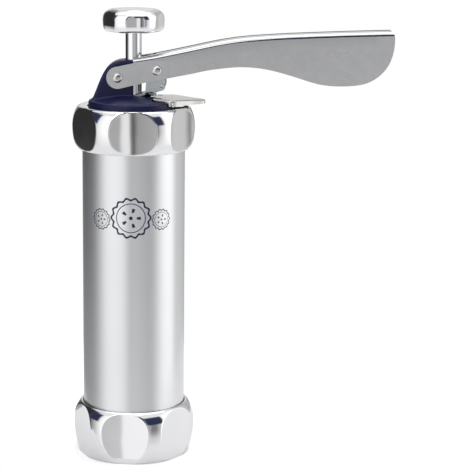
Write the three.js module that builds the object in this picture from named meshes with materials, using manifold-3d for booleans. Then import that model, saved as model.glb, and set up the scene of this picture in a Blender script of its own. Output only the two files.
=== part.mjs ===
// Cookie press: a round barrel with a die ring, a cap ring, a toggle lever that grips and
// feeds the piston rod, and a release tab. Millimetres, +Z up the barrel, +X toward the lever tip.
// The origin is the centre of the die plate's outer face.
import * as THREE from 'three';
import { mergeVertices } from 'three/addons/utils/BufferGeometryUtils.js';
import Module from 'manifold-3d';

const wasm = await Module();
wasm.setup();

// ---------------------------------------------------------------- driving dimensions (mm)
const ROUND = 40;                      // segments of the big round parts
const FINE = 16;                       // segments of the small round parts

const BARREL_R = 30.0;                 // outside of the barrel
const BARREL_BORE_R = 28.5;
const BARREL_Z0 = 2.4;
const BARREL_Z1 = 191.2;

const DIE_R = 28.2;                    // die plate
const DIE_LAND_R = 25.4;
const DIE_RIM_Z = 0.7;
const DIE_TOP_Z = 2.1;
const DIE_PETALS = 6;
const DIE_PETAL_AT_R = 14.2;
const DIE_PETAL_LONG = 6.2;
const DIE_PETAL_WIDE = 3.4;

const FLUTES = 6;                      // grip flutes of the two rings and of the knob
const FLUTE_R = 102.0;                 // radius of a ring flute's hollow
const FLUTE_FLOOR_R = 31.9;            // distance of its floor from the barrel axis
const BASE_Z = -9.0;                   // bottom ring
const BOTTOM_RING_TOP_Z = 22.0;
const BOTTOM_FLUTE_DEG = -96;
const TOP_RING_Z0 = 174.2;             // top ring
const TOP_RING_Z1 = 199.6;
const TOP_FLUTE_DEG = -87.5;
const RING_BORE_R = 30.4;

const CAP_R = 26.4;                    // neck of the cap where it stands in the top ring
const CAP_FLANGE_R = 29.4;
const CAP_Z0 = 191.5;
const CAP_FLANGE_Z1 = 195.3;
const CAP_ROOF_Z = 202.0;              // underside of the dome
const FIN_HALF = 7.5;                  // half width of the fin that carries the lever
const FIN_INNER_HALF = 6.25;
const FIN_END_X = 0.2;
const CHAMBER_R = 14.5;                // room for the brake plate under the dome
const TAB_SEAT_X = 11.2;               // where the seat cut for the release tab starts
const TAB_SEAT_Z = 203.1;
const TAB_SEAT_LOW_Z = 200.3;          // the seat's floor under the tab's flanges

const ROD_R = 4.7;                     // piston rod
const ROD_Z0 = 26.3;
const ROD_Z1 = 249.6;
const KNOB_R = 17.8;
const KNOB_Z0 = 242.4;
const KNOB_Z1 = 255.5;
const KNOB_FLUTE_DEG = -83;

const PISTON_R = 28.1;                 // piston
const PISTON_Z0 = 16.0;
const PISTON_Z1 = 29.0;

const PIVOT = [-8.9, 216.4];           // lever pivot in the cap fin (x, z)
const PAWL_PIVOT = [13.8, 220.8];      // pawl pivot in the lever (x, z)
const PIN_R = 2.0;
const PIN_HOLE_R = 2.3;
const LEVER_HALF = 9.25;               // half width of the lever channel
const SHEET = 1.2;                     // sheet thickness of lever and pawl
const LEVER_BEND = 2.5;                // outside radius of the lever's folded edges
const LEVER_SLOT_HALF = 5.6;           // slot in the lever's web for the rod
const LEVER_SLOT_END_X = 13.5;

const PAWL_HALF = 7.65;                // half width of the pawl
const PAWL_SLOPE = 0.268;              // rise of the pawl's floor per millimetre along X
const TONGUE_HALF = 5.9;

const TAB_PIN = [23.4, 201.6];         // release tab pivot (x, z)
const TAB_PIN_R = 0.7;
const TAB_SLOPE = 0.045;               // fall of the tab toward its tip, radians

// Lower edge of the lever's flanges from the pivot end to the tip (x, z).
const LEVER_LOWER = [
  [0.6, 212.2], [9.4, 214.3], [18.2, 216.0], [32.7, 218.9], [44.3, 221.4], [55.9, 222.9],
  [62.8, 223.3], [71.3, 222.9], [79.1, 221.7], [86.8, 219.8], [94.6, 217.5], [102.4, 215.1],
  [108.0, 213.7], [114.6, 212.9], [121.8, 212.8], [129.5, 213.4], [135.5, 214.9],
  [141.0, 218.0], [145.5, 222.4], [148.5, 227.6], [150.2, 233.4], [150.7, 238.0],
];
// Line where the lever's side turns into the bend, from the rod to the tip (x, z).
const LEVER_SHOULDER = [
  [0.2, 225.2], [6.3, 226.1], [12.5, 227.2], [18.8, 228.5], [28.1, 230.5], [37.5, 232.6],
  [48.0, 234.9], [59.6, 236.9], [71.1, 238.1], [86.5, 239.2], [101.9, 240.0],
  [117.3, 240.7], [132.7, 241.3], [150.2, 241.9],
];
// Side outline of the fin on the cap (x, z).
const FIN_OUTLINE = [
  [-23.8, 200.6], [-22.6, 204.4], [-21.0, 209.1], [-18.4, 215.8], [-16.1, 220.3],
  [-14.0, 222.8], [-11.4, 224.7], [-8.3, 226.0], [-3.9, 226.4], [0.2, 226.4], [0.2, 200.6],
];

// ---------------------------------------------------------------- helpers
function solidOf(geometry) {
  const bare = geometry.index ? geometry.toNonIndexed() : geometry.clone();
  bare.deleteAttribute('normal');
  bare.deleteAttribute('uv');
  const welded = mergeVertices(bare, 1e-4);
  const mesh = new wasm.Mesh({
    numProp: 3,
    vertProperties: new Float32Array(welded.attributes.position.array),
    triVerts: new Uint32Array(welded.index.array),
  });
  return new wasm.Manifold(mesh);
}

function geometryOf(solid) {
  const mesh = solid.getMesh();
  const geometry = new THREE.BufferGeometry();
  geometry.setAttribute('position', new THREE.BufferAttribute(mesh.vertProperties, 3));
  geometry.setIndex(new THREE.BufferAttribute(mesh.triVerts, 1));
  return geometry;
}

// A solid of revolution about Z from a profile of [radius, z] points.
function turned(profile, segments = ROUND) {
  const points = profile.map(([r, z]) => new THREE.Vector2(r, z));
  return new THREE.LatheGeometry(points, segments).rotateX(Math.PI / 2);
}

// A round bar along Z.
function bar(radius, z0, z1, x = 0, y = 0, segments = FINE) {
  const geometry = new THREE.CylinderGeometry(radius, radius, z1 - z0, segments);
  return geometry.rotateX(Math.PI / 2).translate(x, y, (z0 + z1) / 2);
}

// A round bar along Y, centred on y = 0.
function crossBar(radius, length, x, z, segments = FINE) {
  return new THREE.CylinderGeometry(radius, radius, length, segments).translate(x, 0, z);
}

function block(x0, x1, y0, y1, z0, z1) {
  const geometry = new THREE.BoxGeometry(x1 - x0, y1 - y0, z1 - z0);
  return geometry.translate((x0 + x1) / 2, (y0 + y1) / 2, (z0 + z1) / 2);
}

// A side outline of [x, z] points drawn out across the width, centred on y = 0.
function sidePlate(outline, halfWidth, bevel = 0) {
  const shape = new THREE.Shape(outline.map(([x, z]) => new THREE.Vector2(x, z)));
  const geometry = new THREE.ExtrudeGeometry(shape, {
    depth: 2 * (halfWidth - bevel),
    bevelEnabled: bevel > 0,
    bevelThickness: bevel,
    bevelSize: bevel,
    bevelOffset: -bevel,
    bevelSegments: 4,
    curveSegments: 12,
  });
  return geometry.rotateX(Math.PI / 2).translate(0, halfWidth - bevel, 0);
}

// A plan outline of [x, y] points raised between two heights.
function planPlate(outline, z0, z1) {
  const shape = new THREE.Shape(outline.map(([x, y]) => new THREE.Vector2(x, y)));
  const geometry = new THREE.ExtrudeGeometry(shape, { depth: z1 - z0, bevelEnabled: false });
  return geometry.translate(0, 0, z0);
}

function add(...parts) {
  return parts.map(asSolid).reduce((whole, part) => whole.add(part));
}

function cut(body, ...tools) {
  return tools.map(asSolid).reduce((whole, tool) => whole.subtract(tool), asSolid(body));
}

function asSolid(thing) {
  return thing.isBufferGeometry ? solidOf(thing) : thing;
}

// A coil of round wire about a vertical axis.
function coil(radius, wire, z0, z1, turns, x = 0, y = 0) {
  const points = [];
  const count = Math.round(turns * 10);
  for (let i = 0; i <= count; i += 1) {
    const angle = (i / count) * turns * 2 * Math.PI;
    const z = z0 + ((z1 - z0) * i) / count;
    points.push(new THREE.Vector3(x + radius * Math.cos(angle), y + radius * Math.sin(angle), z));
  }
  const path = new THREE.CatmullRomCurve3(points);
  const section = new THREE.Shape();
  section.absarc(0, 0, wire, 0, 2 * Math.PI, false);
  return new THREE.ExtrudeGeometry(section, {
    steps: count,
    curveSegments: 3,
    bevelEnabled: false,
    extrudePath: path,
  });
}

const group = new THREE.Group();
group.name = 'cookie_press';

function place(name, body, colour, roughness, metalness) {
  const geometry = body.isBufferGeometry ? body : geometryOf(body);
  const material = new THREE.MeshStandardMaterial({ color: colour, roughness, metalness });
  material.name = name;
  const mesh = new THREE.Mesh(geometry, material);
  mesh.name = name;
  group.add(mesh);
  return mesh;
}

// ---------------------------------------------------------------- barrel and die plate
const barrel = turned([
  [BARREL_BORE_R, BARREL_Z0], [BARREL_R, BARREL_Z0], [BARREL_R, BARREL_Z1],
  [BARREL_BORE_R, BARREL_Z1], [BARREL_BORE_R, BARREL_Z0],
]);
place('barrel', barrel, 0xc4c6c8, 0.35, 0.9);

function petal(index) {
  const angle = (index / DIE_PETALS) * 2 * Math.PI + Math.PI / 6;
  const tool = new THREE.CylinderGeometry(1, 1, 6, 14).rotateX(Math.PI / 2);
  tool.scale(DIE_PETAL_LONG, DIE_PETAL_WIDE, 1);
  tool.translate(DIE_PETAL_AT_R, 0, 1);
  return tool.rotateZ(angle);
}
const dieBlank = turned([
  [0, 0], [DIE_LAND_R, 0], [DIE_LAND_R, DIE_RIM_Z], [DIE_R, DIE_RIM_Z], [DIE_R, DIE_TOP_Z],
  [0, DIE_TOP_Z],
]);
const petals = Array.from({ length: DIE_PETALS }, (_, i) => petal(i));
place('die_plate', cut(dieBlank, ...petals), 0xb9bbbd, 0.4, 0.9);

// ---------------------------------------------------------------- the two grip rings
function flutes(radius, floorR, z0, z1, firstDeg, segments) {
  return Array.from({ length: FLUTES }, (_, i) => {
    const tool = bar(radius, z0, z1, floorR + radius, 0, segments);
    return tool.rotateZ(((firstDeg + i * 60) * Math.PI) / 180);
  });
}
const bottomRingBody = turned([
  [29.5, BASE_Z], [32.2, BASE_Z], [32.7, -8.4], [33.6, -5.5], [34.6, -2.0], [35.4, 2.0],
  [35.8, 6.0], [35.9, 9.5], [35.6, 13.5], [34.8, 16.8], [33.6, 19.4], [32.3, 21.2],
  [31.3, BOTTOM_RING_TOP_Z], [RING_BORE_R, BOTTOM_RING_TOP_Z], [RING_BORE_R, 0.4],
  [25.8, 0.4], [25.8, -3.0], [29.5, BASE_Z],
]);
const bottomRing = cut(
  bottomRingBody,
  ...flutes(FLUTE_R, FLUTE_FLOOR_R, BASE_Z - 2, BOTTOM_RING_TOP_Z + 2, BOTTOM_FLUTE_DEG, 108),
);
place('bottom_ring', bottomRing, 0xd8dadc, 0.12, 1.0);

const topRingBody = turned([
  [RING_BORE_R, TOP_RING_Z0], [31.2, TOP_RING_Z0], [32.4, 175.0], [33.8, 176.8], [34.9, 179.5],
  [35.5, 183.0], [35.75, 187.0], [35.6, 190.4], [35.0, 193.8], [34.0, 196.6], [32.9, 198.7],
  [31.7, TOP_RING_Z1], [27.0, TOP_RING_Z1], [27.0, CAP_FLANGE_Z1 + 0.3],
  [RING_BORE_R, CAP_FLANGE_Z1 + 0.3], [RING_BORE_R, TOP_RING_Z0],
]);
const topRing = cut(
  topRingBody,
  ...flutes(FLUTE_R, FLUTE_FLOOR_R, TOP_RING_Z0 - 2, TOP_RING_Z1 + 2, TOP_FLUTE_DEG, 108),
);
place('top_ring', topRing, 0xd8dadc, 0.12, 1.0);

// ---------------------------------------------------------------- cap with its lever fin
const capBody = turned([
  [24.9, CAP_Z0], [CAP_FLANGE_R, CAP_Z0], [CAP_FLANGE_R, CAP_FLANGE_Z1],
  [CAP_R, CAP_FLANGE_Z1], [CAP_R, 201.6], [26.0, 202.3], [25.0, 202.8], [20.0, 203.9],
  [14.0, 204.9], [8.0, 205.5], [0, 205.8], [0, CAP_ROOF_Z], [CHAMBER_R, CAP_ROOF_Z],
  [CHAMBER_R, 195.0], [24.9, 195.0], [24.9, CAP_Z0],
]);
const guideScrewAngles = [90, 210, 330].map((deg) => (deg * Math.PI) / 180);
const GUIDE_SCREW_R = 22.0;
const screwHoles = guideScrewAngles.map((a) =>
  bar(1.5, 190, 199.5, GUIDE_SCREW_R * Math.cos(a), GUIDE_SCREW_R * Math.sin(a), 12));
const tabSeat = add(
  block(TAB_SEAT_X, 30, -17, 17, TAB_SEAT_Z, 207),
  block(TAB_SEAT_X, 30, 9.2, 17, TAB_SEAT_LOW_Z, 207),
  block(TAB_SEAT_X, 30, -17, -9.2, TAB_SEAT_LOW_Z, 207),
);
const cap = cut(
  add(capBody, sidePlate(FIN_OUTLINE, FIN_HALF)),
  bar(CHAMBER_R, 195.0, CAP_ROOF_Z, 0, 0, ROUND),
  block(-8.4, 12.0, -FIN_INNER_HALF, FIN_INNER_HALF, 201.0, 224.3),
  bar(5.3, 201.0, 230.0),
  crossBar(PIN_HOLE_R, 20, PIVOT[0], PIVOT[1]),
  tabSeat,
  crossBar(1.0, 30, TAB_PIN[0], TAB_PIN[1], 12),
  ...screwHoles,
);
place('cap', cap, 0x1b1f45, 0.3, 0.0);

const guidePlate = cut(
  bar(24.5, 193.4, 194.7, 0, 0, ROUND),
  bar(5.1, 190, 198),
  ...guideScrewAngles.map((a) =>
    bar(1.5, 190, 198, GUIDE_SCREW_R * Math.cos(a), GUIDE_SCREW_R * Math.sin(a), 12)),
);
place('guide_plate', guidePlate, 0xaeb0b2, 0.4, 0.9);
guideScrewAngles.forEach((a, i) => {
  const screw = turned([
    [0, 192.0], [2.0, 192.0], [2.4, 192.4], [2.4, 193.1], [1.15, 193.1], [1.15, 198.8], [0, 199.2],
  ], 10);
  screw.translate(GUIDE_SCREW_R * Math.cos(a), GUIDE_SCREW_R * Math.sin(a), 0);
  place(`guide_screw_${i + 1}`, screw, 0xb4b6b8, 0.35, 0.9);
});

const brakePlate = cut(block(-10, 9.2, -7.5, 7.5, -0.5, 0.5), bar(5.0, -2, 2));
const brake = place('brake_plate', brakePlate, 0x8f9499, 0.4, 0.9);
brake.rotation.y = 0.07;
brake.position.set(0, 0, 199.2);
place('brake_spring', coil(6.4, 0.4, 195.5, 197.3, 1.5), 0x9a9da0, 0.35, 0.9);

// ---------------------------------------------------------------- rod, knob and piston
const rod = turned([
  [2.8, ROD_Z0], [ROD_R, ROD_Z0], [ROD_R, ROD_Z1], [0, ROD_Z1], [0, 37.5], [2.8, 37.5],
  [2.8, ROD_Z0],
], 24);
place('piston_rod', rod, 0xd2d4d6, 0.12, 1.0);

const knobBody = turned([
  [0, 250.0], [5.0, 250.0], [5.0, KNOB_Z0], [13.6, KNOB_Z0], [15.7, 242.8], [17.0, 243.9],
  [17.6, 245.6], [KNOB_R, 247.8], [KNOB_R, 250.2], [17.2, 252.5], [15.9, 254.1], [13.8, 255.2],
  [11.0, KNOB_Z1], [0, KNOB_Z1],
]);
const knob = cut(knobBody, ...flutes(40, 16.6, KNOB_Z0 - 2, KNOB_Z1 + 2, KNOB_FLUTE_DEG, 64));
place('knob', knob, 0xd8dadc, 0.12, 1.0);

const piston = turned([
  [2.8, PISTON_Z0], [26.5, PISTON_Z0], [PISTON_R, 17.5], [PISTON_R, PISTON_Z1],
  [25.6, PISTON_Z1], [25.6, 20.0], [9.0, 20.0], [8.0, 26.0], [2.8, 26.0], [2.8, PISTON_Z0],
]);
place('piston', piston, 0xecebe6, 0.55, 0.0);
const washer = turned([
  [2.8, 14.4], [10.0, 14.4], [10.0, 15.7], [2.8, 15.7], [2.8, 14.4],
], 24);
place('piston_washer', washer, 0xb9bbbd, 0.35, 0.9);
const screwBody = turned([
  [0, 12.4], [2.6, 12.4], [4.2, 12.9], [4.7, 13.5], [4.7, 14.1], [2.4, 14.1], [2.4, 36.5],
  [0, 37.0],
], FINE);
const pistonScrew = cut(
  screwBody,
  block(-6, 6, -0.6, 0.6, 12.0, 13.2),
);
place('piston_screw', pistonScrew, 0xb4b6b8, 0.35, 0.9);

// ---------------------------------------------------------------- lever and its pins
function roundEnd(centre, radius, fromDeg, toDeg, steps) {
  return Array.from({ length: steps + 1 }, (_, i) => {
    const angle = ((fromDeg + ((toDeg - fromDeg) * i) / steps) * Math.PI) / 180;
    return [centre[0] + radius * Math.cos(angle), centre[1] + radius * Math.sin(angle)];
  });
}
const webTop = LEVER_SHOULDER.map(([x, z]) => [x, z + LEVER_BEND]);
const leverOutline = [
  ...roundEnd(PIVOT, 6.4, 100, 280, 14),
  ...LEVER_LOWER,
  [150.7, 243.2], [150.0, 244.3],
  ...webTop.slice(0, -1).reverse(),
  [FIN_END_X, 224.9],
];
const outerBlank = [
  [-30, 190], [150.8, 190], [150.8, 244.4],
  ...webTop.slice(0, -1).reverse(), [-30, 222.5],
];
const innerBlank = [
  [-30, 190], [149.6, 190], [149.6, 242.2],
  ...webTop.slice(0, -1).reverse().map(([x, z]) => [x, z - SHEET]), [-30, 221.3],
];
const leverShell = cut(
  solidOf(sidePlate(outerBlank, LEVER_HALF, LEVER_BEND)).intersect(
    solidOf(sidePlate(leverOutline, LEVER_HALF + 1))),
  sidePlate(innerBlank, LEVER_HALF - SHEET, LEVER_BEND - SHEET),
);
const lever = cut(
  leverShell,
  block(-20, FIN_END_X, -LEVER_HALF + SHEET, LEVER_HALF - SHEET, 205, 235),
  block(-20, LEVER_SLOT_END_X - LEVER_SLOT_HALF, -LEVER_SLOT_HALF, LEVER_SLOT_HALF, 218, 235),
  bar(LEVER_SLOT_HALF, 218, 235, LEVER_SLOT_END_X - LEVER_SLOT_HALF, 0),
  crossBar(PIN_HOLE_R, 22, PIVOT[0], PIVOT[1]),
  crossBar(PIN_HOLE_R, 22, PAWL_PIVOT[0], PAWL_PIVOT[1]),
);
place('lever', lever, 0xb0b2b4, 0.35, 0.95);

// A rivet along Y with a domed head at each side.
function rivet(shank, head, halfGrip, x, z) {
  const dome = 1.5;
  const geometry = turned([
    [0, -halfGrip - dome], [head * 0.55, -halfGrip - dome * 0.8], [head * 0.9, -halfGrip - dome * 0.35],
    [head, -halfGrip], [shank, -halfGrip], [shank, halfGrip], [head, halfGrip],
    [head * 0.9, halfGrip + dome * 0.35], [head * 0.55, halfGrip + dome * 0.8], [0, halfGrip + dome],
  ], 14);
  return geometry.rotateX(Math.PI / 2).translate(x, 0, z);
}
place('pivot_pin', rivet(PIN_R, 2.8, LEVER_HALF + 0.3, ...PIVOT), 0xc8cacc, 0.25, 0.95);
place('pawl_pin', rivet(PIN_R, 2.8, LEVER_HALF + 0.3, ...PAWL_PIVOT), 0xc8cacc, 0.25, 0.95);

// ---------------------------------------------------------------- drive pawl
const floorAt = (x) => 206.4 + (x - 7.2) * PAWL_SLOPE;
const cheekOutline = [
  [7.0, floorAt(7.0)], [17.3, floorAt(17.3)], [18.5, 210.4], [18.9, 213.2], [18.2, 218.0],
  ...roundEnd(PAWL_PIVOT, 4.4, -15, 165, 9),
  [7.6, 214.0],
];
const cheekInner = [
  [-10, floorAt(-10) + SHEET], [16.0, floorAt(16.0) + SHEET + 0.2], [30, 216], [30, 240], [-10, 240],
];
const tongueOutline = [
  [-7.5, floorAt(-7.5)], [12.0, floorAt(12.0)], [12.0, floorAt(12.0) + SHEET],
  [-7.5, floorAt(-7.5) + SHEET],
];
const rodSlot = add(
  bar(5.05, 190, 230, -0.7, 0), bar(5.05, 190, 230, 0.7, 0), block(-0.7, 0.7, -5.0, 5.0, 190, 230),
);
const pawl = cut(
  add(
    cut(sidePlate(cheekOutline, PAWL_HALF), sidePlate(cheekInner, PAWL_HALF - SHEET)),
    sidePlate(tongueOutline, TONGUE_HALF),
  ),
  rodSlot,
  crossBar(PIN_HOLE_R, 22, PAWL_PIVOT[0], PAWL_PIVOT[1]),
  crossBar(1.2, 22, 16.9, 211.9, 12),
);
place('drive_pawl', pawl, 0x98a3ad, 0.4, 0.85);
place('pawl_end_pin', rivet(0.9, 1.3, PAWL_HALF + 0.3, 16.9, 211.9), 0xc8cacc, 0.3, 0.95);
place('pawl_spring', coil(1.5, 0.3, 205.4, 206.9, 2, 11.6, 0), 0x9a9da0, 0.35, 0.9);

// ---------------------------------------------------------------- release tab
function leaf(inset) {
  const half = [
    [11.6, 10.4], [16.5, 12.6], [20.0, 14.6], [22.5, 15.0], [25.0, 14.0], [30.0, 10.0],
    [35.0, 6.2], [39.0, 3.6], [41.0, 2.2], [41.6, 0.8],
  ].map(([x, y]) => [x - (x > 38 ? inset : 0), y - inset]).filter(([, y]) => y > 0);
  const mirror = half.map(([x, y]) => [x, -y]);
  return [...mirror, ...half.reverse()];
}
const TAB_TOP = 204.2 - TAB_PIN[1];    // plate top above the tab's pivot
const tabPlate = planPlate(leaf(0).map(([x, y]) => [x - TAB_PIN[0], y]), -1.0, TAB_TOP);
const tabInside = planPlate(leaf(1.0).map(([x, y]) => [x - TAB_PIN[0], y]), -3.0, TAB_TOP - 1.0);
const openRoot = block(-20, -10.8 + 1.6, -9.4, 9.4, -4, TAB_TOP - 1.0);
const tipWedge = planPlate([[6, -20], [40, -20], [40, 20], [6, 20]], -6, -1.0);
tipWedge.rotateY(-0.075);
const tongue = block(-13.5, -9.0, -3.2, 3.2, TAB_TOP - 1.0, TAB_TOP);
const leg = block(-13.5, -12.5, -3.2, 3.2, -5.4, TAB_TOP);
const lowerFoot = block(-15.2, -12.5, -3.2, 3.2, -5.4, -4.7);
const upperFoot = block(-15.2, -12.5, -3.2, 3.2, -2.5, -1.8);
const tab = cut(
  add(cut(tabPlate, tabInside, openRoot, tipWedge), tongue, leg, lowerFoot, upperFoot),
  block(-9.8, -7.0, -9.6, -6.6, -1, 4),
  block(-9.8, -7.0, 6.6, 9.6, -1, 4),
  crossBar(1.0, 40, 0, 0, 12),
);
const tabMesh = place('release_tab', tab, 0xa8a6a0, 0.35, 0.9);
tabMesh.position.set(TAB_PIN[0], 0, TAB_PIN[1]);
tabMesh.rotation.y = TAB_SLOPE;
place('tab_pin', rivet(TAB_PIN_R, 1.3, 15.0, ...TAB_PIN), 0xc8cacc, 0.3, 0.95);

export default group;
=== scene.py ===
"""Cookie press in a pale studio: barrel, grip rings, cap, lever, pawl, tab, rod and knob."""
import logging
import math
from dataclasses import dataclass, field
from enum import Enum
from functools import cache

import bmesh
import bpy
from mathutils import Matrix, Vector


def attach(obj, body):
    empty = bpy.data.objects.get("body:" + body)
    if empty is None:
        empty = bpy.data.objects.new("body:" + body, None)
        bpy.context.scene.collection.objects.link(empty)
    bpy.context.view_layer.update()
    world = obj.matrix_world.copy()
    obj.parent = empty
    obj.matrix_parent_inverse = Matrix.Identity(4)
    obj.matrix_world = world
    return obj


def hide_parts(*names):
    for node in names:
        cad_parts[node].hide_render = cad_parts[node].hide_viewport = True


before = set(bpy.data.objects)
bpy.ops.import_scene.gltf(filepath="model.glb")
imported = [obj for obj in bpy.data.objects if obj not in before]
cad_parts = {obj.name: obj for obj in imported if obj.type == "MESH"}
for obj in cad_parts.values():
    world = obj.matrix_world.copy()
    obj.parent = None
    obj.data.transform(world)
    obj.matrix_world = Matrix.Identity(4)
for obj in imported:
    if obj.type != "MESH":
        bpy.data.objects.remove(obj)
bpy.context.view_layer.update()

LOG = logging.getLogger("cookie_press")
MM = 0.001
Point = tuple[float, float]
Stop = tuple[float, float]
Colour = tuple[float, float, float]
Spot = tuple[float, float, float]
Socket = bpy.types.NodeSocket


class Side(Enum):
    """Which way a flat outline is drawn out."""

    ACROSS = "across"
    UP = "up"


class Cut(Enum):
    """How a second body changes the first."""

    TAKE = "DIFFERENCE"
    KEEP = "INTERSECT"
    JOIN = "UNION"


# ---------------------------------------------------------------- workshop
@dataclass(frozen=True)
class FluteEnd:
    """How a grip flute runs out towards one end of its body.

    Attributes:
        least: The least depth of the flute where the body narrows, in millimetres.
        fade: Width over which that depth runs out to nothing.
    """

    least: float = 0.0
    fade: float = 0.05


class Workshop:
    """Mesh making shared by every sub-assembly."""

    @staticmethod
    def curve(points: list[Point], step: float = 1.0) -> list[Point]:
        """Run a smooth line through points.

        Args:
            points: The points the line passes, in millimetres.
            step: The spacing of the points given back.

        Returns:
            Points along the line, first and last kept.
        """
        line = [Vector(p) for p in points]
        ends = [2 * line[0] - line[1], *line, 2 * line[-1] - line[-2]]
        out: list[Point] = []
        for before, start, end, after in zip(ends, ends[1:], ends[2:], ends[3:]):
            count = max(1, round((end - start).length / step))
            for i in range(count):
                t = i / count
                spot = 0.5 * (
                    2 * start
                    + (end - before) * t
                    + (2 * before - 5 * start + 4 * end - after) * t ** 2
                    + (3 * start - before - 3 * end + after) * t ** 3
                )
                out.append((spot.x, spot.y))
        out.append((line[-1].x, line[-1].y))
        return out

    @staticmethod
    def arc(centre: Point, radius: float, start: float, end: float, count: int) -> list[Point]:
        """Points on a round arc.

        Args:
            centre: The arc's centre in millimetres.
            radius: Its radius.
            start: First angle in degrees.
            end: Last angle in degrees.
            count: Number of steps.

        Returns:
            The points from start to end.
        """
        turns = [math.radians(start + (end - start) * i / count) for i in range(count + 1)]
        return [(centre[0] + radius * math.cos(a), centre[1] + radius * math.sin(a)) for a in turns]

    @staticmethod
    def spin(profile: list[Point], steps: int = 192) -> bmesh.types.BMesh:
        """Turn a profile of (radius, height) points about the barrel's axis.

        Args:
            profile: Points in millimetres, on the axis at both ends or closing on itself.
            steps: Number of faces round.

        Returns:
            The turned body.
        """
        bm = bmesh.new()
        verts = [bm.verts.new((r * MM, 0, z * MM)) for r, z in profile]
        for first, second in zip(verts, verts[1:]):
            bm.edges.new((first, second))
        bmesh.ops.spin(
            bm, geom=bm.verts[:] + bm.edges[:], cent=(0, 0, 0), axis=(0, 0, 1), dvec=(0, 0, 0),
            angle=2 * math.pi, steps=steps, use_merge=True, use_duplicate=False,
        )
        bmesh.ops.remove_doubles(bm, verts=bm.verts[:], dist=1e-6)
        bmesh.ops.dissolve_degenerate(bm, dist=1e-7, edges=bm.edges[:])
        bmesh.ops.recalc_face_normals(bm, faces=bm.faces[:])
        return bm

    @staticmethod
    def plate(outline: list[Point], low: float, high: float, side: Side) -> bmesh.types.BMesh:
        """Draw a flat outline out into a body.

        Args:
            outline: Corner points in millimetres.
            low: Where the body starts along the way it is drawn.
            high: Where it ends.
            side: ACROSS for an (x, z) outline drawn along Y, UP for (x, y) along Z.

        Returns:
            The closed body.
        """
        bm = bmesh.new()
        if side is Side.ACROSS:
            spots = [(u * MM, low * MM, v * MM) for u, v in outline]
            way = Vector((0, (high - low) * MM, 0))
        else:
            spots = [(u * MM, v * MM, low * MM) for u, v in outline]
            way = Vector((0, 0, (high - low) * MM))
        face = bm.faces.new([bm.verts.new(spot) for spot in spots])
        grown = bmesh.ops.extrude_face_region(bm, geom=[face], use_keep_orig=True)
        moved = [item for item in grown["geom"] if isinstance(item, bmesh.types.BMVert)]
        bmesh.ops.translate(bm, verts=moved, vec=way)
        bmesh.ops.recalc_face_normals(bm, faces=bm.faces[:])
        return bm

    @staticmethod
    def block(low: Spot, high: Spot) -> bmesh.types.BMesh:
        """A plain cutter with square corners, given by its two corners in millimetres.

        Args:
            low: The corner with the least coordinates.
            high: The corner with the greatest coordinates.

        Returns:
            The closed cutter, in the frame's units.
        """
        bm = bmesh.new()
        bmesh.ops.create_cube(bm, size=1)
        span = [(b - a) * MM for a, b in zip(low, high)]
        bmesh.ops.scale(bm, vec=span, verts=bm.verts[:])
        bmesh.ops.translate(bm, vec=[(a + b) / 2 * MM for a, b in zip(low, high)], verts=bm.verts[:])
        return bm

    @staticmethod
    def bar(radius: float, start: Spot, end: Spot, sides: int = 48) -> bmesh.types.BMesh:
        """A round bar between two points.

        Args:
            radius: Its radius in millimetres.
            start: One end in millimetres.
            end: The other end.
            sides: Number of faces round.

        Returns:
            The closed bar.
        """
        bm = bmesh.new()
        foot, run = Vector(start), Vector(end) - Vector(start)
        bmesh.ops.create_cone(
            bm, cap_ends=True, cap_tris=False, segments=sides,
            radius1=radius * MM, radius2=radius * MM, depth=run.length * MM,
        )
        turn = run.to_track_quat("Z", "Y").to_matrix().to_4x4()
        place = Matrix.Translation((foot + run / 2) * MM) @ turn
        bmesh.ops.transform(bm, matrix=place, verts=bm.verts[:])
        return bm

    @staticmethod
    def round_edges(
        bm: bmesh.types.BMesh, edges: list[bmesh.types.BMEdge], width: float, segments: int = 4
    ) -> None:
        """Round the given edges.

        Args:
            bm: The body.
            edges: Its edges to round.
            width: The radius in millimetres.
            segments: Faces across each round.
        """
        bmesh.ops.bevel(
            bm, geom=edges, offset=width * MM, offset_type="OFFSET", segments=segments,
            profile=0.5, affect="EDGES", material=-1, clamp_overlap=False,
        )

    @staticmethod
    def sharp_edges(bm: bmesh.types.BMesh, degrees: float) -> list[bmesh.types.BMEdge]:
        """Edges whose faces meet at more than an angle."""
        limit = math.radians(degrees)
        return [e for e in bm.edges if len(e.link_faces) == 2 and e.calc_face_angle(0.0) > limit]

    @staticmethod
    def mesh_object(bm: bmesh.types.BMesh, name: str) -> bpy.types.Object:
        """Make a scene object of a body and free the body.

        Args:
            bm: The body.
            name: The object's name.

        Returns:
            The new object, linked to the scene.
        """
        mesh = bpy.data.meshes.new(name)
        bm.to_mesh(mesh)
        bm.free()
        piece = bpy.data.objects.new(name, mesh)
        bpy.context.scene.collection.objects.link(piece)
        return piece

    @staticmethod
    def bake(piece: bpy.types.Object) -> None:
        """Fix an object's modifiers into its mesh.

        Args:
            piece: The object, whose old mesh is removed.
        """
        graph = bpy.context.evaluated_depsgraph_get()
        done = bpy.data.meshes.new_from_object(piece.evaluated_get(graph))
        old = piece.data
        piece.modifiers.clear()
        piece.data = done
        done.name = piece.name
        bpy.data.meshes.remove(old)

    @classmethod
    def combine(cls, piece: bpy.types.Object, other: bmesh.types.BMesh, how: Cut) -> None:
        """Cut, keep or join a second body.

        Args:
            piece: The object changed.
            other: The second body, freed here.
            how: What to do with it.
        """
        tool = cls.mesh_object(other, "tool")
        change = piece.modifiers.new("cut", "BOOLEAN")
        change.operation = how.value
        change.object = tool
        change.solver = "EXACT"
        cls.bake(piece)
        bpy.data.objects.remove(tool)

    @classmethod
    def take(cls, piece: bpy.types.Object, *tools: bmesh.types.BMesh) -> None:
        """Take several bodies away, one after another."""
        for tool in tools:
            cls.combine(piece, tool, Cut.TAKE)

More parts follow.
